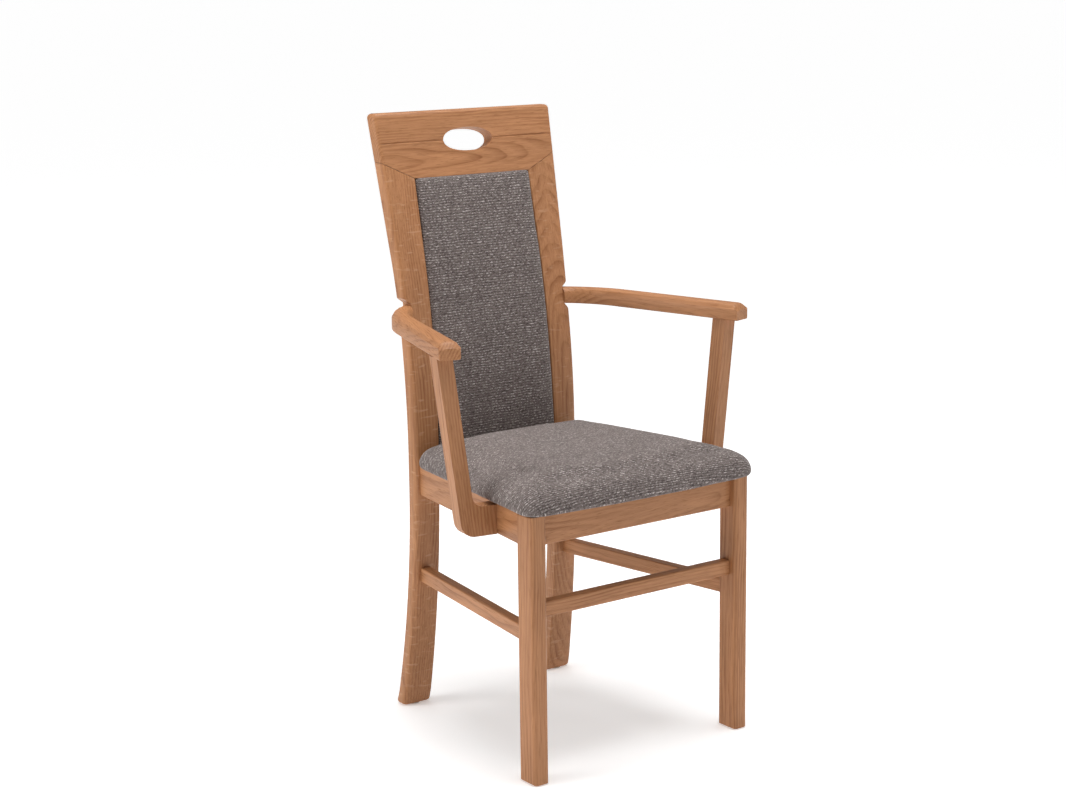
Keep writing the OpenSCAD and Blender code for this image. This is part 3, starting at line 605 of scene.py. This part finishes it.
# wood of the hidden pieces, which keep their own solids
def plainWood(name, pale, deep, grain, scaleMm):
    material, tree, bsdf = newMaterial(name, Roughness=0.62)
    coord = addNode(tree, "ShaderNodeTexCoord")
    turn = Vector(grain).normalized().rotation_difference(Vector((1, 0, 0))).to_euler()
    place = addNode(tree, "ShaderNodeMapping", {"Vector": coord.outputs["Object"], "Rotation": turn})
    scaled = addNode(tree, "ShaderNodeVectorMath", {
        0: place.outputs["Vector"], 1: (25, 1000 / scaleMm, 1000 / scaleMm)}, operation="MULTIPLY")
    fibre = addNode(tree, "ShaderNodeTexNoise", {"Vector": scaled.outputs[0], "Scale": 1.0, "Detail": 3.0})
    tint = setRamp(addNode(tree, "ShaderNodeValToRGB", {"Fac": fibre.outputs["Fac"]}), [
        (0.35, srgb(pale)), (0.7, srgb(deep))])
    tree.links.new(tint.outputs["Color"], bsdf.inputs["Base Color"])
    bump = addNode(tree, "ShaderNodeBump", {
        "Height": fibre.outputs["Fac"], "Strength": 0.3, "Distance": 0.1 * mm})
    tree.links.new(bump.outputs["Normal"], bsdf.inputs["Normal"])
    return material


# beech, sawn and left bare: pale pink-brown with fine short fibre
beech = plainWood("beechPlaned", "#dcc09a", "#c9a679", (1, 0, 0), 2.0)
# birch plywood, sanded: cream with faint long figure
plywood = plainWood("birchPlySanded", "#e2cda4", "#d0b485", (0, 1, 0), 6.0)


def makeZinc():
    # zinc-plated steel, tumbled: a soft grey metal with uneven gloss
    material, tree, bsdf = newMaterial("steelZincPlated", Base_Color=srgb("#c3c6c9"), Metallic=1.0)
    coord = addNode(tree, "ShaderNodeTexCoord")
    spots = addNode(tree, "ShaderNodeTexNoise", {
        "Vector": coord.outputs["Object"], "Scale": 900.0, "Detail": 2.0})
    gloss = addNode(tree, "ShaderNodeMapRange", {
        "Value": spots.outputs["Fac"], "To Min": 0.26, "To Max": 0.44})
    tree.links.new(gloss.outputs["Result"], bsdf.inputs["Roughness"])
    return material


def makeNylon():
    # nylon, injection moulded: milky, with a fine spark-eroded texture
    material, tree, bsdf = newMaterial("nylonMoulded", Base_Color=srgb("#dad6cd"), Roughness=0.42)
    coord = addNode(tree, "ShaderNodeTexCoord")
    grit = addNode(tree, "ShaderNodeTexNoise", {
        "Vector": coord.outputs["Object"], "Scale": 2500.0, "Detail": 1.0})
    bump = addNode(tree, "ShaderNodeBump", {
        "Height": grit.outputs["Fac"], "Strength": 0.25, "Distance": 0.05 * mm})
    tree.links.new(bump.outputs["Normal"], bsdf.inputs["Normal"])
    return material


def makeDustCloth():
    # polypropylene felt, spun bonded: black, dull, with a pressed dot pattern
    material, tree, bsdf = newMaterial("polypropyleneFeltSpunbond",
                                       Base_Color=srgb("#262626"), Roughness=0.88)
    coord = addNode(tree, "ShaderNodeTexCoord")
    dots = addNode(tree, "ShaderNodeTexVoronoi", {
        "Vector": coord.outputs["Object"], "Scale": 1000 / 2.4, "Randomness": 0.15})
    bump = addNode(tree, "ShaderNodeBump", {
        "Height": dots.outputs["Distance"], "Strength": 0.5, "Distance": 0.2 * mm})
    tree.links.new(bump.outputs["Normal"], bsdf.inputs["Normal"])
    return material


slotMaterials = {"beech": beech, "plywood": plywood, "zinc_steel": makeZinc(), "nylon": makeNylon()}
for entry in frame["record"]["subparts"]:
    material = slotMaterials.get(entry["material_slot"])
    if material:
        node = nodes[entry["node"]]
        node.data.materials.clear()
        node.data.materials.append(material)
print("hidden pieces finished")

dustSheet = {"sagMm": 4.0, "thickMm": 0.6, "cells": 28}


def makeDustSheet():
    low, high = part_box("seat_dust_cover")
    obj = cleanCopy("seat_dust_cover", "seat_dust_sheet")
    bm = bmesh.new()
    bm.from_mesh(obj.data)
    # keep the underside only, cut it into a grid and let it hang a little
    bmesh.ops.delete(bm, geom=[f for f in bm.faces if f.normal.z > -0.5], context="FACES")
    bmesh.ops.delete(bm, geom=[v for v in bm.verts if not v.link_faces], context="VERTS")
    size = high - low
    for axis in (0, 1):
        for i in range(1, dustSheet["cells"]):
            spot = low.copy()
            spot[axis] += size[axis] * i / dustSheet["cells"]
            across = Vector((0, 0, 0))
            across[axis] = 1
            bmesh.ops.bisect_plane(bm, geom=bm.verts[:] + bm.edges[:] + bm.faces[:],
                                   plane_co=spot, plane_no=across)
    middle = (low + high) / 2
    for v in bm.verts:
        u = 2 * (v.co.x - middle.x) / size.x
        w = 2 * (v.co.y - middle.y) / size.y
        v.co.z -= dustSheet["sagMm"] * mm * max(0, 1 - u * u) * max(0, 1 - w * w)
    bm.to_mesh(obj.data)
    bm.free()
    thick = obj.modifiers.new("thickness", "SOLIDIFY")
    thick.thickness = dustSheet["thickMm"] * mm
    thick.offset = -1
    obj.data.polygons.foreach_set("use_smooth", [True] * len(obj.data.polygons))
    obj.data.materials.append(makeDustCloth())
    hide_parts("seat_dust_cover")
    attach(obj, root)
    print("dust sheet made")


makeDustSheet()
